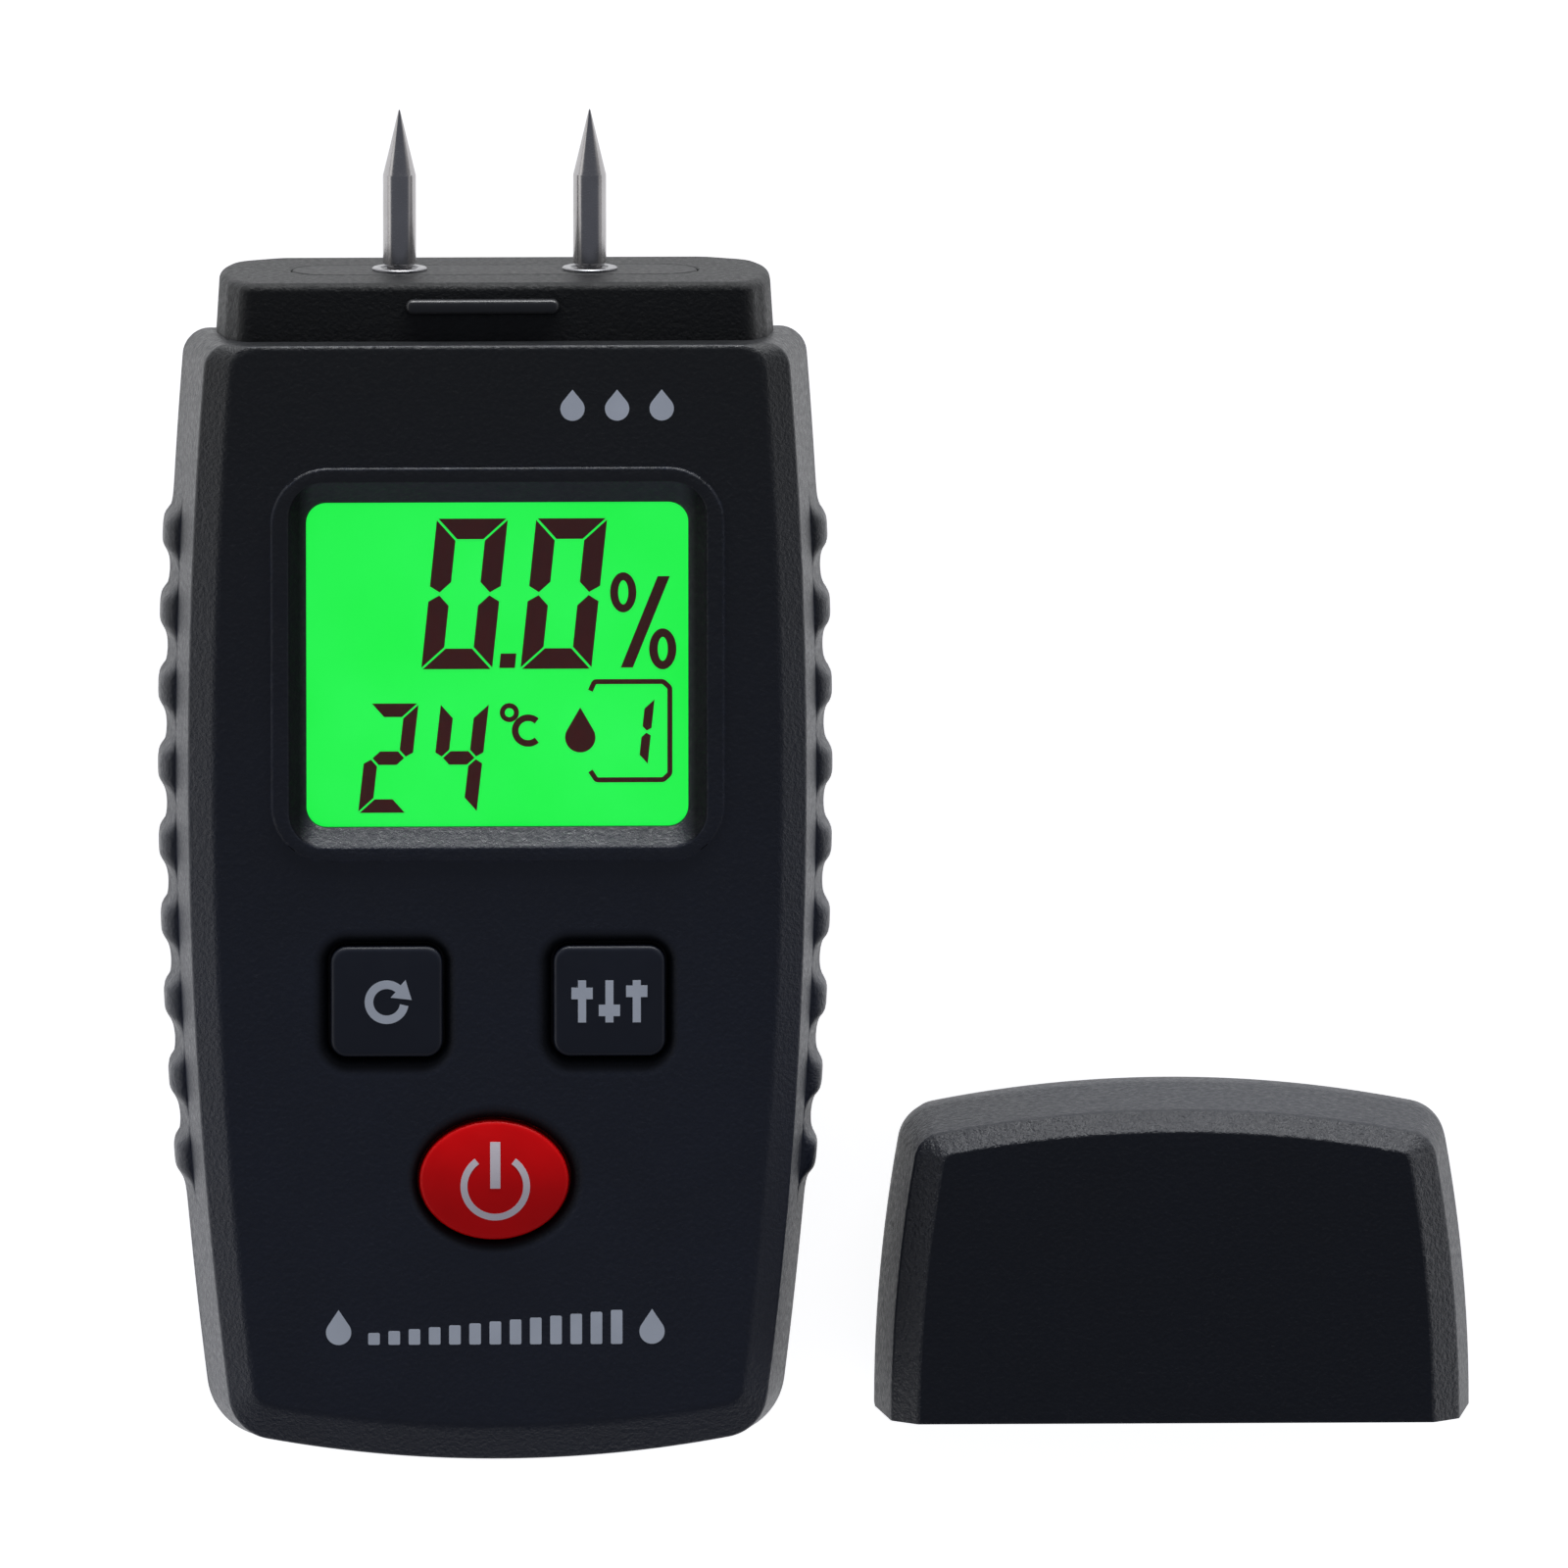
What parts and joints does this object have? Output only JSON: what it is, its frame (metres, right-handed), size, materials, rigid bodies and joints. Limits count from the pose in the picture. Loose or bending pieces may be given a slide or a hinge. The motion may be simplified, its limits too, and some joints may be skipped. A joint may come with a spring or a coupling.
{
  "type": "pin moisture meter",
  "caption": "Handheld pin moisture meter for timber and floors: ribbed black case, lit display, square and oval keys, steel pins, and a pull-off cap lying beside it.",
  "frame": {"origin": "middle of the case's flat back, halfway along the housing", "axes": "+Z out of the display, +Y towards the pins, +X towards the side where the cap lies"},
  "size_m": [0.13, 0.1347, 0.0273],
  "materials": {
    "case_plastic": "fine matt texture",
    "rear_plastic": "fine matt texture",
    "head_plastic": "fine matt texture",
    "insert_plastic": "smooth matt",
    "pin_steel": "turned and ground",
    "brass_parts": "bright",
    "lens_clear": "clear acrylic",
    "lcd_green": "lit green display",
    "holder_plastic": "moulded",
    "diffuser": "frosted acrylic",
    "led_body": "clear resin",
    "zebra_rubber": "smooth",
    "pcb_green": "solder mask",
    "chip_black": "moulded resin",
    "crystal_can": "satin can",
    "capacitor_sleeve": "shrink sleeve",
    "key_plastic": "smooth matt",
    "power_red": "satin",
    "plunger_plastic": "moulded",
    "cell_wrap": "printed sleeve",
    "plated_steel": "nickel plated",
    "cap_plastic": "fine matt texture"
  },
  "bodies": {
    "meter": {"front_shell": "case_plastic", "rear_shell": "rear_plastic", "head_block": "head_plastic", "pin_plate": "insert_plastic", "left_pin": "pin_steel", "right_pin": "pin_steel", "pin_collars": "pin_steel", "pin_sockets": "brass_parts", "pin_contact_strips": "brass_parts", "window_lens": "lens_clear", "lcd_panel": "lcd_green", "lcd_holder": "holder_plastic", "backlight_panel": "diffuser", "backlight_leds": "led_body", "contact_rubbers": "zebra_rubber", "main_pcb": "pcb_green", "controller_chip": "chip_black", "amplifier_chip": "chip_black", "clock_crystal": "crystal_can", "smoothing_capacitor": "capacitor_sleeve", "chip_resistors": "chip_black", "temperature_sensor": "chip_black", "switch_bodies": "chip_black", "battery_1": "cell_wrap", "battery_2": "cell_wrap", "battery_3": "cell_wrap", "battery_springs": "plated_steel", "battery_plates": "plated_steel", "case_screws": "plated_steel", "pcb_screws": "plated_steel"},
    "mode_key": {"mode_key": "key_plastic", "mode_plunger": "plunger_plastic"},
    "set_key": {"set_key": "key_plastic", "set_plunger": "plunger_plastic"},
    "power_key": {"power_key": "power_red", "power_plunger": "plunger_plastic"},
    "battery_door": {"battery_door": "rear_plastic"},
    "cap": {"protective_cap": "cap_plastic"}
  },
  "joints": [
    {"name": "mode_key_press", "type": "slide", "parent": "meter", "child": "mode_key", "axis": [0, 0, -1], "range_m": [0, 0.0006], "stiffness_N_per_m": 900, "springref_m": -0.0002},
    {"name": "set_key_press", "type": "slide", "parent": "meter", "child": "set_key", "axis": [0, 0, -1], "range_m": [0, 0.0006], "stiffness_N_per_m": 900, "springref_m": -0.0002},
    {"name": "power_key_press", "type": "slide", "parent": "meter", "child": "power_key", "axis": [0, 0, -1], "range_m": [0, 0.0006], "stiffness_N_per_m": 900, "springref_m": -0.0002},
    {"name": "battery_door_slide", "type": "slide", "parent": "meter", "child": "battery_door", "axis": [0, -1, 0], "range_m": [0, 0.055]},
    {"name": "cap_pull_off", "type": "slide", "parent": "meter", "child": "cap", "axis": [0, 1, 0], "range_m": [0, 0.035]}
  ]
}
